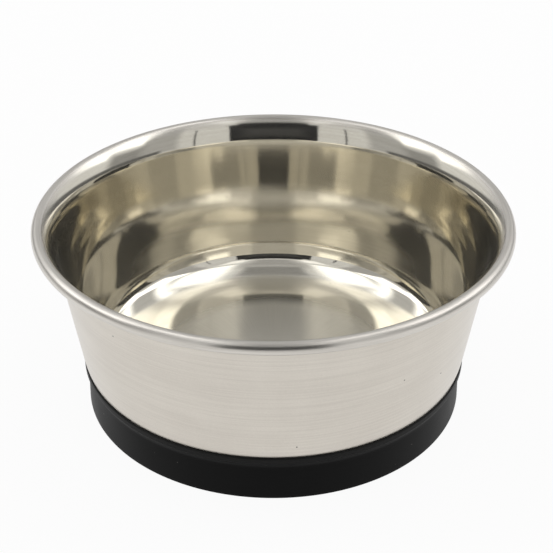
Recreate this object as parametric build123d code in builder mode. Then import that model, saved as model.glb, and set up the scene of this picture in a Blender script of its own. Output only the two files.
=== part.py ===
from build123d import *
import os
from math import atan2, cos, degrees, radians, sin, sqrt, tan

# Stainless dog bowl: a pressed steel bowl with a rolled rim, standing in a rubber foot ring.
# Millimetres, +Z up, origin on the table under the middle of the bowl.

# Steel bowl
rim_diameter = 190.0  # over the rolled bead
bowl_height = 81.0  # table to the top of the bead
sheet = 0.8  # thickness of the steel
bead_diameter = 5.0  # rolled bead, outside
curl_angle = 285.0  # how far the bead is rolled round, from where the lip runs into it
lip_width = 8.1  # rim's outer edge in to the wall's line, at the middle of the bead
lip_radius = 18.0  # flare of the lip, on the food side
wall_taper = 9.0  # lean of the wall from upright, in degrees
heel_radius = 27.0  # inward bend at the foot of the wall, on the food side
heel_lean = 24.0  # lean from upright where that bend runs into the corner, in degrees
corner_radius = 7.8  # between that bend and the floor, on the food side
dish_slope = 31.0  # rise of the floor where it runs into the corner, in degrees
dish_radius = 39.0  # dish from the corner down to the flat disc, on the food side
disc_height = 8.4  # food face of the flat disc in the middle of the floor, above the table

# Rubber foot ring
fit_gap = 0.3  # between steel and rubber
lip_drop = 8.75  # ring's top edge below the centre of the steel's bend
lip_round = 0.35  # rounding of the ring's top edge
lip_face = 2.1  # upright face of the ring's lip
lip_overhang = 1.4  # lip proud of the skirt below it
cove_height = 3.0  # hollow between lip and skirt
skirt_flare = 0.4  # skirt wider at the table than under the lip
foot_width = 12.6  # width of the face on the table
foot_edge = 0.4  # rounding of the ring's edges on the table
groove_count = 2  # anti-slip grooves in the foot
groove_width = 1.4
groove_depth = 0.8

# Places on the food side of the steel, as radius and height
bead_radius = bead_diameter / 2
bead_center = Vector(rim_diameter / 2 - bead_radius, bowl_height - bead_radius)
lean = radians(wall_taper)
wall_normal = Vector(-cos(lean), sin(lean))
wall_along = Vector(sin(lean), cos(lean))
wall_top = Vector(rim_diameter / 2 - lip_width, bead_center.Y)
bead_offset = (wall_top - bead_center).dot(wall_normal)
lip_run = sqrt((lip_radius - bead_radius) ** 2 - (lip_radius - bead_offset) ** 2)
lip_start = bead_center + wall_normal * bead_offset - wall_along * lip_run
lip_center = lip_start - wall_normal * lip_radius
heel_turn = -heel_lean
dish_turn = dish_slope - 90.0


def turn(center, target):
    # direction from one point to another, in degrees
    return degrees(atan2(target.Y - center.Y, target.X - center.X))


def on_circle(center, radius, angle):
    return center + Vector(cos(radians(angle)), sin(radians(angle))) * radius


# Heights from the disc up, then radii from the wall in: dish, corner and bend each run smoothly into the next
corner_height = disc_height + dish_radius + (dish_radius - corner_radius) * sin(radians(dish_turn))
heel_height = corner_height - (heel_radius - corner_radius) * sin(radians(heel_turn))
heel_reach = wall_top.X - (wall_top.Y - heel_height) * tan(lean) - heel_radius / cos(lean)
heel_center = Vector(heel_reach, heel_height)
corner_center = on_circle(heel_center, heel_radius - corner_radius, heel_turn)
dish_center = on_circle(corner_center, corner_radius - dish_radius, dish_turn)

# Arcs of the sheet from the floor's disc out to the rolled edge: whether a straight run leads to it,
# centre, radius on the food side, whether that grows or shrinks through the sheet, first and last direction
lip_turn = turn(lip_center, bead_center)
sheet_arcs = [
    (True, dish_center, dish_radius, 1, -90.0, dish_turn),
    (False, corner_center, corner_radius, 1, dish_turn, heel_turn),
    (False, heel_center, heel_radius, 1, heel_turn, -wall_taper),
    (True, lip_center, lip_radius, -1, 180.0 - wall_taper, lip_turn),
    (False, bead_center, bead_radius, -1, lip_turn, lip_turn - curl_angle),
]

with BuildPart() as bowl_shell:
    with BuildSketch(Plane.XZ) as bowl_section:
        with BuildLine():
            rolled_edge = []
            for depth in (0, sheet):
                here = Vector(0, disc_height - depth)
                for straight, center, food_radius, growth, first, last in sheet_arcs:
                    radius = food_radius + growth * depth
                    if straight:
                        Line(here, on_circle(center, radius, first))
                    CenterArc(center, radius, first, last - first)
                    here = on_circle(center, radius, last)
                rolled_edge.append(here)
            Line(rolled_edge[0], rolled_edge[1])
            Line((0, disc_height), (0, disc_height - sheet))
        make_face()
    revolve(axis=Axis.Z)

bowl_shell.part.label = "bowl_shell"

# Foot ring, following the underside of the steel at the fit gap
seat_heel_radius = heel_radius + sheet + fit_gap
seat_corner_radius = corner_radius + sheet + fit_gap
seat_dish_radius = dish_radius + sheet + fit_gap
lip_top = heel_height - lip_drop
lip_inside = Vector(heel_reach + sqrt(seat_heel_radius ** 2 - lip_drop ** 2), lip_top)
lip_edge = lip_inside + Vector(lip_round, -lip_round)
lip_foot = lip_edge - Vector(0, lip_face)
skirt_top = lip_foot - Vector(lip_overhang, cove_height)
cove_radius = (lip_overhang ** 2 + cove_height ** 2) / (2 * lip_overhang)
foot_radius = skirt_top.X + skirt_flare
bore_radius = foot_radius - foot_width
bore_reach = bore_radius - dish_center.X
bore_top = Vector(bore_radius, dish_center.Y - sqrt(seat_dish_radius ** 2 - bore_reach ** 2))
bore_turn = turn(dish_center, bore_top)

with BuildPart() as foot_ring:
    with BuildSketch(Plane.XZ) as ring_section:
        with BuildLine():
            RadiusArc(lip_inside, lip_edge, lip_round)
            Line(lip_edge, lip_foot)
            RadiusArc(lip_foot, skirt_top, -cove_radius)
            Line(skirt_top, (foot_radius, 0))
            Line((foot_radius, 0), (bore_radius, 0))
            Line((bore_radius, 0), bore_top)
            CenterArc(dish_center, seat_dish_radius, bore_turn, dish_turn - bore_turn)
            CenterArc(corner_center, seat_corner_radius, dish_turn, heel_turn - dish_turn)
            CenterArc(heel_center, seat_heel_radius, heel_turn, turn(heel_center, lip_inside) - heel_turn)
        make_face()
        fillet(ring_section.vertices().group_by(Axis.Y)[0], radius=foot_edge)
        groove_pitch = foot_width / (groove_count + 1)
        for groove in range(groove_count):
            with Locations((bore_radius + (groove + 1) * groove_pitch, 0)):
                Rectangle(groove_width, 2 * groove_depth, mode=Mode.SUBTRACT)
    revolve(axis=Axis.Z)

foot_ring.part.label = "foot_ring"

os.makedirs("parts", exist_ok=True)
export_step(bowl_shell.part, "parts/bowl_shell.step")
export_step(foot_ring.part, "parts/foot_ring.step")
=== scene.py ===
import math

import bpy
import numpy as np
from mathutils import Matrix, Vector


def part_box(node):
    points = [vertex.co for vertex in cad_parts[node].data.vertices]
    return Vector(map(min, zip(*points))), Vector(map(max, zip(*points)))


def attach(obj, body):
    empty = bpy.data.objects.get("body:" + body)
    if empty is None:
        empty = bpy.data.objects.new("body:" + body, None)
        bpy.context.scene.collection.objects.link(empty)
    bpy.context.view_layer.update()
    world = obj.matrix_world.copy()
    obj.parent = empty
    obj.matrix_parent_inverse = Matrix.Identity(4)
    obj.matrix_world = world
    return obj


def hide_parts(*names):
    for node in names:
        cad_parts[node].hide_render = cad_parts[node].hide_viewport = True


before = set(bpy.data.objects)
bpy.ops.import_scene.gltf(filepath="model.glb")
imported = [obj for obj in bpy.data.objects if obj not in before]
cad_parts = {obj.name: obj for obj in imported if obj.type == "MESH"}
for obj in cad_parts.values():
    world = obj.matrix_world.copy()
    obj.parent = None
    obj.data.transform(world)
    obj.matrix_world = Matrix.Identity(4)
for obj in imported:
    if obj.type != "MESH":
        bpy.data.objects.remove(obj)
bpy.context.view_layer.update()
scene = bpy.context.scene
scene.view_settings.view_transform = "Standard"


class Plug:
    # an output socket; arithmetic between plugs and numbers adds Math nodes to its tree
    def __init__(self, tree, socket=None):
        self.tree = tree
        self.socket = socket

    def node(self, kind, settings, values, output=0):
        # any node: settings first, then values or links for its sockets by name or number
        made = self.tree.nodes.new(kind)
        for name, value in settings.items():
            setattr(made, name, value)
        for key, value in values.items():
            if isinstance(value, Plug):
                self.tree.links.new(value.socket, made.inputs[key])
            else:
                made.inputs[key].default_value = value
        return Plug(self.tree, made.outputs[output]) if made.outputs else None

    def math(self, operation, *values):
        return self.node("ShaderNodeMath", {"operation": operation}, dict(enumerate(values)))

    def __add__(self, other):
        return self.math("ADD", self, other)

    def __radd__(self, other):
        return self.math("ADD", other, self)

    def __sub__(self, other):
        return self.math("SUBTRACT", self, other)

    def __rsub__(self, other):
        return self.math("SUBTRACT", other, self)

    def __mul__(self, other):
        return self.math("MULTIPLY", self, other)

    def __rmul__(self, other):
        return self.math("MULTIPLY", other, self)

    def __truediv__(self, other):
        return self.math("DIVIDE", self, other)

    def __pow__(self, other):
        return self.math("POWER", self, other)

    def step(self, start, end):
        # 0 before start, 1 after end, smooth between
        return self.node("ShaderNodeMapRange", {"interpolation_type": "SMOOTHSTEP"},
                         {"Value": self, "From Min": start, "From Max": end})

    def blend(self, first, second):
        # colour going from first to second as this value goes from 0 to 1
        return self.node("ShaderNodeMix", {"data_type": "RGBA"}, {0: self, 6: first, 7: second}, 2)

    def axis(self, number):
        # one coordinate of a place: 0, 1 or 2 for x, y or z
        return self.node("ShaderNodeSeparateXYZ", {}, {0: self}, number)

    def join(self, x, y, z):
        return self.node("ShaderNodeCombineXYZ", {}, {0: x, 1: y, 2: z})

    def noise(self, scale, detail, rough):
        return self.node("ShaderNodeTexNoise", {},
                         {"Vector": self, "Scale": scale, "Detail": detail, "Roughness": rough})

    def specks(self, scale, size, edge):
        # round dots: 1 near scattered points, fading over the edge to 0 at the size
        distance = self.node("ShaderNodeTexVoronoi", {}, {"Vector": self, "Scale": scale})
        return (size - distance).step(0.0, edge)

    def lean(self, depth, under=None, strength=1.0):
        # normal leaned by this value as a height, on top of the normal under it
        values = {"Height": self, "Strength": strength, "Distance": depth}
        if under:
            values["Normal"] = under
        return self.node("ShaderNodeBump", {}, values)


def newMaterial(name):
    material = bpy.data.materials.new(name)
    material.use_nodes = True
    material.node_tree.nodes.clear()
    return material, Plug(material.node_tree)


def opaque(color):
    return (*color, 1)


def grey(level):
    return (level, level, level, 1)


# Surfaces of revolution

sharpAngle = 50.0  # edges that turn more than this stay sharp, in degrees


def arc(center, radius, first, last, count):
    # centre + radius * (cos a, sin a), a in equal steps from the first to the last angle in degrees
    a = np.radians(np.linspace(first, last, count))
    return np.asarray(center) + radius * np.column_stack([np.cos(a), np.sin(a)])


def toward(angle):
    # (cos a, sin a) of an angle in degrees
    return np.array([math.cos(math.radians(angle)), math.sin(math.radians(angle))])


def bearing(center, target):
    # direction from one point to another, in degrees
    return math.degrees(math.atan2(target[1] - center[1], target[0] - center[0]))


def spin(name, profile, rowSlots, materials, segments, sway=None):
    # outline (r, z) carried round the axis: (r cos t, r sin t, z), air on the left of its run;
    # sway adds to the radius by place; an outline from axis to axis gets a pole at each end
    poles = profile[0, 0] == 0
    rows = profile[1:-1] if poles else profile
    t = np.arange(segments) * 2 * np.pi / segments
    radius = np.repeat(rows[:, :1], segments, axis=1)
    height = np.repeat(rows[:, 1:], segments, axis=1)
    if sway:
        radius = radius + sway(height, t)
    points = np.stack([radius * np.cos(t), radius * np.sin(t), height], axis=-1).reshape(-1, 3)
    along = np.concatenate([[0], np.cumsum(np.hypot(*np.diff(profile, axis=0).T))])
    index = np.arange(len(points)).reshape(len(rows), segments)
    near = index[:-1] if poles else index
    far = index[1:] if poles else np.roll(index, -1, axis=0)
    quads = np.stack([near, far, np.roll(far, -1, axis=1), np.roll(near, -1, axis=1)], axis=-1)
    faces = quads.reshape(-1, 4).tolist()
    if poles:
        ends = np.column_stack([np.zeros((2, 2)), profile[[0, -1], 1]])
        first, last = len(points), len(points) + 1
        fans = [np.stack([np.full(segments, first), index[0], np.roll(index[0], -1)], axis=-1),
                np.stack([np.full(segments, last), np.roll(index[-1], -1), index[-1]], axis=-1)]
        faces = fans[0].tolist() + faces + fans[1].tolist()
        points = np.vstack([points, ends])
        along = np.concatenate([np.repeat(along[1:-1], segments), along[[0, -1]]])
    else:
        along = np.repeat(along, segments)
    mesh = bpy.data.meshes.new(name)
    mesh.from_pydata(points.tolist(), [], faces)
    for material in materials:
        mesh.materials.append(material)
    mesh.polygons.foreach_set("material_index", np.repeat(rowSlots, segments).astype(np.int32))
    mesh.polygons.foreach_set("use_smooth", np.ones(len(faces), bool))
    mesh.set_sharp_from_angle(angle=math.radians(sharpAngle))
    mesh.attributes.new("along", "FLOAT", "POINT").data.foreach_set("value", along.astype(np.float32))
    piece = bpy.data.objects.new(name, mesh)
    scene.collection.objects.link(piece)
    return piece


# Steel finishes: fine lines run round the bowl, lean its surface, stain it a little and spread its gloss

insideFinish = {
    "color": (0.78, 0.745, 0.655), "shade": (0.68, 0.645, 0.555),
    "roughness": 0.065, "roughnessSpread": 0.02, "anisotropy": 0.7, "hazy": True,
    "dishRoughness": 0.12, "dishTop": 0.013, "dishFoot": 0.0095,  # softer gloss low on the dish
    "lineReach": 2.2, "linesPerMetre": 900.0, "lineDepth": 0.0000006,
    "grainPerMetre": 1400.0, "grainDepth": 0.0000040, "spokeDepth": 0.0, "pits": 0.6,
}
floorFinish = {
    "color": (0.72, 0.69, 0.615), "shade": (0.68, 0.65, 0.575),
    "roughness": 0.36, "roughnessSpread": 0.04, "anisotropy": 0.7, "hazy": True,
    "lineReach": 3.0, "linesPerMetre": 1400.0, "lineDepth": 0.0000003,
    "grainPerMetre": 2600.0, "grainDepth": 0.0000002, "pits": 0.0,
    # the spokes' darker colour is a painted reflection, radial streaks painted into the floor's tone; their
    # bump is real
    "spokeDepth": 0.00018, "paintedSpokeStreak": (0.645, 0.62, 0.55), "spokeReach": 24.0,
    "spokeStart": 0.010, "spokeEnd": 0.040,  # radii between which the spokes come up
    "start": 0.044, "end": 0.054,  # radii between which the wall's finish takes over
}
outsideFinish = {
    "color": (0.695, 0.655, 0.59), "shade": (0.57, 0.53, 0.475),
    "roughness": 0.29, "roughnessSpread": 0.06, "anisotropy": 0.6, "hazy": False,
    "lineReach": 1.6, "linesPerMetre": 1500.0, "lineDepth": 0.0000015,
    "grainPerMetre": 2600.0, "grainDepth": 0.0000010, "spokeDepth": 0.0, "pits": 1.0,
}
rimFinish = {
    "color": (0.69, 0.66, 0.61), "shade": (0.57, 0.54, 0.495), "roughness": 0.29,
    "start": 0.0882, "end": 0.0915, "lineRange": (0.35, 0.65),
}
hazeLook = {
    "roughness": 0.5, "ior": 1.42,
    "fadeStart": 0.55, "fadeEnd": 0.8, "faded": 0.45, "blend": 0.5,  # thinner where seen at a slant
}
steelGrain = {
    "lineDetail": 5.0, "lineRough": 0.65, "spokeDetail": 2.0, "spokeRough": 0.6,
    "grainDetail": 2.0, "grainRough": 0.5, "cloudPerMetre": 45.0, "cloudDetail": 3.0, "cloudRough": 0.5,
    "shineRange": (0.3, 0.7), "lineShare": 0.5, "cloudShare": 0.2, "grainShare": 0.3,
    "pitsPerMetre": 190.0, "pitSize": 0.075, "pitEdge": 0.02, "pitRange": (0.56, 0.62), "pitTone": 0.06,
    "acrossLines": 0.25,  # turn of the gloss, so that it spreads across the lines
    "axisGuard": 0.0001,  # keeps the radius off zero
}


def roundAxis(place):
    # distance from the axis, and (cos t, sin t) round it
    x, y = place.axis(0), place.axis(1)
    radius = (x * x + y * y) ** 0.5 + steelGrain["axisGuard"]
    return radius, x / radius, y / radius


def roundLines(pen, look, cosT, sinT):
    # noise at (cos t, sin t) * reach and the distance along the outline * density
    along = pen.node("ShaderNodeAttribute", {"attribute_name": "along"}, {}, "Fac")
    place = pen.join(cosT * look["lineReach"], sinT * look["lineReach"], along * look["linesPerMetre"])
    return place.noise(1.0, steelGrain["lineDetail"], steelGrain["lineRough"])


def spokes(pen, look, cosT, sinT):
    # noise at (cos t, sin t) * reach: the same all along a radius
    place = pen.join(cosT * look["spokeReach"], sinT * look["spokeReach"], 0.0)
    return place.noise(1.0, steelGrain["spokeDetail"], steelGrain["spokeRough"])


def steelShader(pen, look, rim=None):
    place = pen.node("ShaderNodeTexCoord", {}, {}, "Object")
    radius, cosT, sinT = roundAxis(place)
    lines = roundLines(pen, look, cosT, sinT)
    grain = place.noise(look["grainPerMetre"], steelGrain["grainDetail"], steelGrain["grainRough"])
    cloud = place.noise(steelGrain["cloudPerMetre"], steelGrain["cloudDetail"], steelGrain["cloudRough"])
    shine = lines.step(*steelGrain["shineRange"]) * steelGrain["lineShare"]
    shine = shine + cloud.step(*steelGrain["shineRange"]) * steelGrain["cloudShare"]
    shine = shine + grain.step(*steelGrain["shineRange"]) * steelGrain["grainShare"]
    tone = shine.blend(opaque(look["shade"]), opaque(look["color"]))
    rough = look["roughness"] + look["roughnessSpread"] * (lines - 0.5)
    if rim:
        atRim = radius.step(rim["start"], rim["end"])
        rimTone = lines.step(*rim["lineRange"]).blend(opaque(rim["shade"]), opaque(rim["color"]))
        tone = atRim.blend(tone, rimTone)
        atDish = place.axis(2).step(look["dishTop"], look["dishFoot"])
        rough = rough + atRim * (rim["roughness"] - look["roughness"])
        rough = rough + atDish * (look["dishRoughness"] - look["roughness"])
    normal = grain.lean(look["grainDepth"], lines.lean(look["lineDepth"]))
    if look["spokeDepth"]:
        # painted reflection: darker radial streaks blended into the colour, with a real bump along the same
        # streaks
        spokeBumpAndPaintedStreak = (1 - spokes(pen, look, cosT, sinT)) * radius.step(look["spokeStart"], look["spokeEnd"])
        tone = spokeBumpAndPaintedStreak.blend(tone, opaque(look["paintedSpokeStreak"]))
        normal = spokeBumpAndPaintedStreak.lean(look["spokeDepth"], normal)
    if look["pits"]:
        pits = place.specks(steelGrain["pitsPerMetre"], steelGrain["pitSize"], steelGrain["pitEdge"])
        pits = pits * cloud.step(*steelGrain["pitRange"]) * look["pits"]
        tone = pits.blend(tone, grey(steelGrain["pitTone"]))
    haze = 0.0
    if look["hazy"]:
        slant = pen.node("ShaderNodeLayerWeight", {}, {"Blend": hazeLook["blend"]}, "Facing")
        haze = 1 - (1 - hazeLook["faded"]) * slant.step(hazeLook["fadeStart"], hazeLook["fadeEnd"])
    return pen.node("ShaderNodeBsdfPrincipled", {}, {
        "Base Color": tone,
        "Metallic": 1.0,
        "Roughness": rough,
        "Anisotropic": look["anisotropy"],
        "Anisotropic Rotation": steelGrain["acrossLines"],
        "Coat Weight": haze,
        "Coat Roughness": hazeLook["roughness"],
        "Coat IOR": hazeLook["ior"],
        "Normal": normal,
    })


def insideSteel(name, wall, floor, rim):
    # the floor's finish passes into the wall's over a ring of the dish
    material, pen = newMaterial(name)
    radius = roundAxis(pen.node("ShaderNodeTexCoord", {}, {}, "Object"))[0]
    onWall = radius.step(floor["start"], floor["end"])
    finishes = {0: onWall, 1: steelShader(pen, floor), 2: steelShader(pen, wall, rim)}
    mixed = pen.node("ShaderNodeMixShader", {}, finishes)
    pen.node("ShaderNodeOutputMaterial", {}, {"Surface": mixed})
    return material


def outsideSteel(name, look):
    material, pen = newMaterial(name)
    pen.node("ShaderNodeOutputMaterial", {}, {"Surface": steelShader(pen, look)})
    return material


# Steel bowl: one sheet from the floor's disc out to the rolled bead, drawn on both of its sides

steelBowl = {
    "sheet": 0.0008, "beadRadius": 0.0025, "curl": 285.0, "lipWidth": 0.0081, "lipRadius": 0.018,
    "taper": 9.0, "heelRadius": 0.027, "heelLean": 24.0, "cornerRadius": 0.0078,
    "dishSlope": 31.0, "dishRadius": 0.039, "discHeight": 0.0084,
    "segments": 288, "points": [24, 40, 22, 14, 30, 28, 60],  # disc, dish, corner, heel, wall, lip, bead
    "foodShare": 1.0, "underShare": 0.5,  # part of those counts used on each side
    # waves round the wall: count, size, start
    "waves": [(3, 0.00003, 0.4), (5, 0.00003, 2.1), (8, 0.00002, 4.0), (13, 0.00001, 1.3)],
    "waveTwist": 40.0, "waveFade": 0.02,
}


def sheetPlaces(look):
    # centres of the sheet's arcs as (r, z), each tangent to the next, from the rim's box and disc's height
    rimRadius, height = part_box("bowl_shell")[1].x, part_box("bowl_shell")[1].z
    lean = math.radians(look["taper"])
    normal, upWall = -toward(-look["taper"]), toward(90 - look["taper"])
    bead = np.array([rimRadius, height]) - look["beadRadius"]
    wallTop = np.array([rimRadius - look["lipWidth"], bead[1]])
    offset = (wallTop - bead) @ normal
    reach = math.sqrt((look["lipRadius"] - look["beadRadius"]) ** 2 - (look["lipRadius"] - offset) ** 2)
    lip = bead + normal * (offset - look["lipRadius"]) - upWall * reach
    toCorner = (look["dishRadius"] - look["cornerRadius"]) * toward(look["dishSlope"] - 90)
    toHeel = (look["cornerRadius"] - look["heelRadius"]) * toward(-look["heelLean"])
    heelZ = look["discHeight"] + look["dishRadius"] + toCorner[1] + toHeel[1]
    heelR = wallTop[0] - (wallTop[1] - heelZ) * math.tan(lean) - look["heelRadius"] / math.cos(lean)
    heel = np.array([heelR, heelZ])
    corner = heel - toHeel
    return {"bead": bead, "lip": lip, "heel": heel, "corner": corner, "dish": corner - toCorner}


def sheetSide(look, depth, share):
    # outline of the sheet at a depth below the food side, in stretches from the axis to the rolled edge:
    # lines and arcs of radius + or - depth; share is the part of the point counts used
    at = sheetPlaces(look)
    disc, dish, corner, heel, wall, lip, bead = [round(count * share) for count in look["points"]]
    lipTurn = bearing(at["lip"], at["bead"])
    heelTurn, dishTurn = -look["heelLean"], look["dishSlope"] - 90
    heelArc = arc(at["heel"], look["heelRadius"] + depth, heelTurn, -look["taper"], heel)
    lipArc = arc(at["lip"], look["lipRadius"] - depth, 180 - look["taper"], lipTurn, lip)
    level = look["discHeight"] - depth
    return [
        np.linspace((0, level), (at["dish"][0], level), disc)[:-1],
        arc(at["dish"], look["dishRadius"] + depth, -90, dishTurn, dish)[:-1],
        arc(at["corner"], look["cornerRadius"] + depth, dishTurn, heelTurn, corner)[:-1],
        heelArc,
        np.linspace(heelArc[-1], lipArc[0], wall)[1:-1],
        lipArc[:-1],
        arc(at["bead"], look["beadRadius"] - depth, lipTurn, lipTurn - look["curl"], bead),
    ]


def bowlSway(look):
    at = sheetPlaces(look)

    def sway(height, angle):
        # sum of size * cos(count * t + start + twist * z), faded out above the floor and under the lip
        twist = look["waveTwist"] * height
        waves = sum(size * np.cos(count * angle + start + twist) for count, size, start in look["waves"])
        aboveFloor = np.clip((height - at["heel"][1]) / look["waveFade"], 0, 1)
        belowLip = np.clip((at["lip"][1] - height) / look["waveFade"], 0, 1)
        return waves * aboveFloor * belowLip

    return sway


inside = sheetSide(steelBowl, 0, steelBowl["foodShare"])
outside = sheetSide(steelBowl, steelBowl["sheet"], steelBowl["underShare"])
foodRows = sum(len(stretch) for stretch in inside)
outline = np.vstack(inside + [np.vstack(outside)[::-1]])
rowSlots = np.ones(len(outline) - 1)
rowSlots[:foodRows] = 0
bowlPiece = spin("steel_bowl", outline, rowSlots, [
    insideSteel("polished_inside", insideFinish, floorFinish, rimFinish),
    outsideSteel("satin_outside", outsideFinish),
], steelBowl["segments"], bowlSway(steelBowl))
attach(bowlPiece, "bowl")
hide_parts("bowl_shell")
print("steel bowl:", len(outline), "outline points,", len(bowlPiece.data.polygons), "faces")


# Rubber foot ring: lip, hollow, skirt, grooved foot and a seat that follows the steel

rubberRing = {
    "seatGap": 0.00005, "lipRound": 0.0007, "lipFace": 0.00175, "lipOverhang": 0.0014,
    "coveHeight": 0.003, "skirtFlare": 0.0004, "footWidth": 0.0126, "footEdge": 0.0004,
    "grooves": 2, "grooveWidth": 0.0014, "grooveDepth": 0.0008,
    "segments": 288,
    "outsidePoints": [10, 6, 14, 12, 8],  # lip's edge, lip's face, hollow, skirt, foot's edge
    "seatPoints": [6, 16, 10, 6],  # bore's edge, dish, corner, heel
    # the second colour is a painted highlight on the lip; the third is real dust
    "color": (0.0025, 0.0025, 0.0025), "paintedLipHighlight": (0.017, 0.017, 0.0165), "dust": (0.22, 0.21, 0.19),
    "roughness": 0.44, "roughnessSpread": 0.10, "gloss": 0.085,
    "grainPerMetre": 2200.0, "grainDetail": 4.0, "grainRough": 0.6,
    "grainDepth": 0.00004, "grainStrength": 0.5,
    "cloudPerMetre": 60.0, "cloudDetail": 3.0, "cloudRough": 0.5,
    "specksPerMetre": 320.0, "speckSize": 0.07, "speckEdge": 0.03, "speckRange": (0.52, 0.60),
}


def mouldedRubber(name, look):
    # black with a fine grain and a painted highlight that makes the lip paler, with specks of dust where the
    # cloud is thick
    material, pen = newMaterial(name)
    place = pen.node("ShaderNodeTexCoord", {}, {}, "Object")
    grain = place.noise(look["grainPerMetre"], look["grainDetail"], look["grainRough"])
    cloud = place.noise(look["cloudPerMetre"], look["cloudDetail"], look["cloudRough"])
    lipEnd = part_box("foot_ring")[1].z - look["lipRound"] - look["lipFace"]
    # painted highlight: the lip's band is coloured paler than the rest of the rubber
    lipHighlightMask = place.axis(2).step(lipEnd - look["lipRound"], lipEnd + look["lipRound"])
    black = lipHighlightMask.blend(opaque(look["color"]), opaque(look["paintedLipHighlight"]))
    dust = place.specks(look["specksPerMetre"], look["speckSize"], look["speckEdge"])
    dust = dust * cloud.step(*look["speckRange"])
    rubber = pen.node("ShaderNodeBsdfPrincipled", {}, {
        "Base Color": dust.blend(black, opaque(look["dust"])),
        "Roughness": look["roughness"] + look["roughnessSpread"] * (cloud - 0.5),
        "Specular IOR Level": look["gloss"],
        "Normal": grain.lean(look["grainDepth"], strength=look["grainStrength"]),
    })
    pen.node("ShaderNodeOutputMaterial", {}, {"Surface": rubber})
    return material


def ringOutline(look, bowl):
    # lines and arcs, clockwise from the lip's inner top edge: down the outside, in along the foot,
    # up the bore and out along the seat
    at = sheetPlaces(bowl)
    under = bowl["sheet"] + look["seatGap"]
    seatHeel = bowl["heelRadius"] + under
    seatCorner = bowl["cornerRadius"] + under
    seatDish = bowl["dishRadius"] + under
    lipEdge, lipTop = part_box("foot_ring")[1].x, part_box("foot_ring")[1].z
    heelDrop = at["heel"][1] - lipTop
    seatEnd = at["heel"] + np.array([math.sqrt(seatHeel ** 2 - heelDrop ** 2), -heelDrop])
    lipFoot = lipTop - look["lipRound"] - look["lipFace"]
    skirtTop = np.array([lipEdge - look["lipOverhang"], lipFoot - look["coveHeight"]])
    coveRadius = (look["lipOverhang"] ** 2 + look["coveHeight"] ** 2) / (2 * look["lipOverhang"])
    cove = skirtTop + np.array([coveRadius, 0])
    footRadius = skirtTop[0] + look["skirtFlare"]
    bore = footRadius - look["footWidth"]
    edge = look["footEdge"]
    pitch = look["footWidth"] / (look["grooves"] + 1)
    grooveRadii = bore + pitch * np.arange(look["grooves"], 0, -1)
    half, deep = look["grooveWidth"] / 2, look["grooveDepth"]
    groove = np.array([[half, 0], [half, deep], [-half, deep], [-half, 0]])
    grooves = [np.array([radius, 0]) + groove for radius in grooveRadii]
    boreTop = at["dish"][1] - math.sqrt(seatDish ** 2 - (bore - at["dish"][0]) ** 2)
    dishTurn, heelTurn = bowl["dishSlope"] - 90, -bowl["heelLean"]
    lipCount, faceCount, coveCount, skirtCount, footCount = look["outsidePoints"]
    boreCount, dishCount, cornerCount, heelCount = look["seatPoints"]
    return np.vstack([
        seatEnd,
        arc((lipEdge - look["lipRound"], lipTop - look["lipRound"]), look["lipRound"], 90, 0, lipCount),
        np.linspace((lipEdge, lipTop - look["lipRound"]), (lipEdge, lipFoot), faceCount)[1:],
        arc(cove, coveRadius, bearing(cove, (lipEdge, lipFoot)), 180, coveCount)[1:],
        np.linspace(skirtTop, (footRadius, edge), skirtCount)[1:-1],
        arc((footRadius - edge, edge), edge, 0, -90, footCount),
        *grooves,
        arc((bore + edge, edge), edge, -90, -180, boreCount),
        arc(at["dish"], seatDish, bearing(at["dish"], (bore, boreTop)), dishTurn, dishCount),
        arc(at["corner"], seatCorner, dishTurn, heelTurn, cornerCount)[1:],
        arc(at["heel"], seatHeel, heelTurn, bearing(at["heel"], seatEnd), heelCount)[1:-1],
    ])


ringRows = ringOutline(rubberRing, steelBowl)
ringPiece = spin("rubber_foot_ring", ringRows, np.zeros(len(ringRows)),
                 [mouldedRubber("moulded_rubber", rubberRing)], rubberRing["segments"])
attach(ringPiece, "ring")
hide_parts("foot_ring")
print("rubber ring:", len(ringRows), "outline points,", len(ringPiece.data.polygons), "faces")


# Studio: pale floor, white surroundings, and a dome of soft light panels that the camera doesn't see

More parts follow.
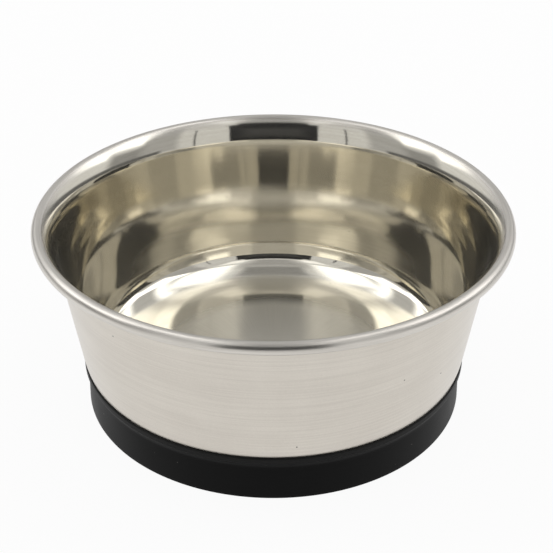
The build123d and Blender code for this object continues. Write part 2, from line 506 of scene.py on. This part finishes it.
studio = {
    "floorColor": 0.9, "floorWhite": 0.94, "floorDrop": 0.0001,
    "floorFront": -0.26, "floorBack": 1.2, "floorHalf": 1.2,
    "daylight": 0.8, "distance": 3.0, "lowest": -8.0, "steps": (720, 196),
    "flare": 0.17, "flareTop": 62.0,  # how side panels widen upwards, and the angle where that stops
    "topHeight": 2.0, "topReach": 0.01,  # height of the top panels, and the lowest angle for them in radians
    # left and right bearing from the camera's side, lowest and highest angle and soft edge, all in degrees,
    # and brightness
    "sidePanels": [
        (-181, 181, 2, 92, 1, 0.78),  # base all round
        (-58, -20, 4, 42, 2, 0.72), (20, 58, 4, 42, 2, 0.72),  # front fill
        (-52, -20, 40, 64, 4, 0.7), (20, 52, 40, 64, 4, 0.7),  # fill above it
        (-82, -50, 2, 67, 7, 0.45), (50, 82, 2, 67, 7, 0.45),  # dim sides
        (-102, -72, 2, 34, 8, 0.33), (72, 102, 2, 34, 8, 0.33),
        (-107, -76, 33, 65, 8, 2.4), (76, 107, 33, 65, 8, 2.4),  # side softboxes
        (100, 260, 25, 62, 6, 2.1),  # back softbox
        (121, 239, 43, 57, 4, 0.55),  # dim band across it
        (126, 234, 15, 45, 8, 0.85),  # fill below the band
        (154, 206, 15, 70, 5, 0.62),  # dim strip in its middle
        (62, 298, 0, 13, 4, 0.13),  # low dark band
        (-40.8, -39.3, -4, 47, 0.4, 0.1), (42.8, 44.3, -4, 47, 0.4, 0.1),  # thin dark stands
        (-24.3, 24.2, -7, 51, 0.6, 0.02), (-18.5, 19, 45, 57, 0.6, 0.02),  # dark panel on the camera's side
        (-24, 24, 8, 46, 14, 0.06),
    ],
    # left, right, front and back edge and soft edge, all in metres at the top panels' height, and brightness
    "topPanels": [
        (-1.0, -0.3, -0.15, 0.9, 0.15, 1.75), (0.3, 1.0, -0.15, 0.9, 0.15, 1.75),  # softboxes
        (-0.85, -0.36, -1.2, -0.35, 0.15, 1.3), (0.36, 0.85, -1.2, -0.35, 0.15, 1.3),
        (-0.45, 0.45, -1.2, 0.3, 0.3, 0.42),  # gap between them
        (-0.3, 0.3, 0.1, 0.7, 0.1, 0.3),
    ],
}


def stageSheet(name, points, material):
    # a grid of points as one mesh of quads
    index = np.arange(points[..., 0].size).reshape(points.shape[:2])
    quads = np.stack([index[:-1, :-1], index[:-1, 1:], index[1:, 1:], index[1:, :-1]], axis=-1)
    mesh = bpy.data.meshes.new(name)
    mesh.from_pydata(points.reshape(-1, 3).tolist(), [], quads.reshape(-1, 4).tolist())
    mesh.materials.append(material)
    made = bpy.data.objects.new(name, mesh)
    scene.collection.objects.link(made)
    return made


def softBox(u, v, left, right, low, high, soft):
    # smoothstep of the distance inside the box's border over the soft edge
    border = np.minimum(np.minimum(u - left, right - u), np.minimum(v - low, high - v))
    t = np.clip(border / soft, 0, 1)
    return t * t * (3 - 2 * t)


def buildDome(look):
    # ball round the bowl over bearing a and height angle e: distance * (sin a cos e, -cos a cos e, sin e);
    # panels are laid over one another: glow + (panel - glow) * box, a side panel's bearing widening upwards
    columns, rows = look["steps"]
    a, e = np.meshgrid(np.linspace(-np.pi, np.pi, columns + 1),
                       np.linspace(math.radians(look["lowest"]), np.pi / 2, rows + 1))
    widening = 1 + look["flare"] * np.tan(np.minimum(e, math.radians(look["flareTop"]))) ** 2
    side, height = np.degrees(np.arctan2(np.sin(a) / widening, np.cos(a))), np.degrees(e)
    reach = look["topHeight"] / np.tan(np.clip(e, look["topReach"], np.pi / 2))
    x, y = reach * np.sin(a), -reach * np.cos(a)
    glow = np.ones_like(a)
    for left, right, low, high, soft, level in look["sidePanels"]:
        glow += (level - glow) * softBox(left + (side - left) % 360, height, left, right, low, high, soft)
    for left, right, front, back, soft, level in look["topPanels"]:
        glow += (level - glow) * softBox(x, y, left, right, front, back, soft)
    material, pen = newMaterial("soft_panels")
    brightness = pen.node("ShaderNodeAttribute", {"attribute_name": "glow"}, {}, "Color")
    light = pen.node("ShaderNodeEmission", {}, {"Color": brightness, "Strength": 1.0})
    pen.node("ShaderNodeOutputMaterial", {}, {"Surface": light})
    points = look["distance"] * np.stack([np.sin(a) * np.cos(e), -np.cos(a) * np.cos(e), np.sin(e)], axis=-1)
    dome = stageSheet("dome", points, material)
    glowValues = glow.ravel().astype(np.float32)
    dome.data.attributes.new("glow", "FLOAT", "POINT").data.foreach_set("value", glowValues)
    dome.visible_camera = False


def eitherRay(pen):
    # 1 for rays from the camera and from gloss or glass
    seen = [pen.node("ShaderNodeLightPath", {}, {}, ray)
            for ray in ("Is Camera Ray", "Is Glossy Ray", "Is Transmission Ray")]
    return pen.math("MAXIMUM", seen[0], pen.math("MAXIMUM", seen[1], seen[2]))


def buildFloor(look):
    # flat sheet, white to those rays and lit by the studio for the rest
    x, y = np.meshgrid([-look["floorHalf"], look["floorHalf"]], [look["floorFront"], look["floorBack"]])
    material, pen = newMaterial("pale_floor")
    lit = pen.node("ShaderNodeBsdfDiffuse", {}, {"Color": grey(look["floorColor"])})
    white = pen.node("ShaderNodeEmission", {}, {"Color": grey(1.0), "Strength": 1.0})
    mixed = pen.node("ShaderNodeMixShader", {}, {0: eitherRay(pen) * look["floorWhite"], 1: lit, 2: white})
    pen.node("ShaderNodeOutputMaterial", {}, {"Surface": mixed})
    stageSheet("floor", np.stack([x, y, 0 * x - look["floorDrop"]], axis=-1), material)


def buildWorld(look):
    # white to those rays, daylight for the rest
    world = bpy.data.worlds.new("studio")
    world.use_nodes = True
    world.node_tree.nodes.clear()
    scene.world = world
    pen = Plug(world.node_tree)
    strength = look["daylight"] + eitherRay(pen) * (1 - look["daylight"])
    light = pen.node("ShaderNodeBackground", {}, {"Color": grey(1.0), "Strength": strength})
    pen.node("ShaderNodeOutputWorld", {}, {"Surface": light})


buildFloor(studio)
buildWorld(studio)
buildDome(studio)
print("studio: floor, world and", len(studio["sidePanels"]) + len(studio["topPanels"]), "panels")


# Camera at the photograph's place

cameraLook = {
    "place": (0.0012, -0.4532, 0.3246), "down": 0.5436,
    "focalPixels": 1300.0, "imagePixels": 553.0, "sensor": 36.0,
}
camera = bpy.data.cameras.new("camera")
camera.sensor_width = cameraLook["sensor"]
camera.lens = cameraLook["sensor"] * cameraLook["focalPixels"] / cameraLook["imagePixels"]
cameraObject = bpy.data.objects.new("camera", camera)
cameraObject.location = cameraLook["place"]
cameraObject.rotation_euler = (math.pi / 2 - cameraLook["down"], 0, 0)
scene.collection.objects.link(cameraObject)
scene.camera = cameraObject
print("camera: lens", round(camera.lens, 2))
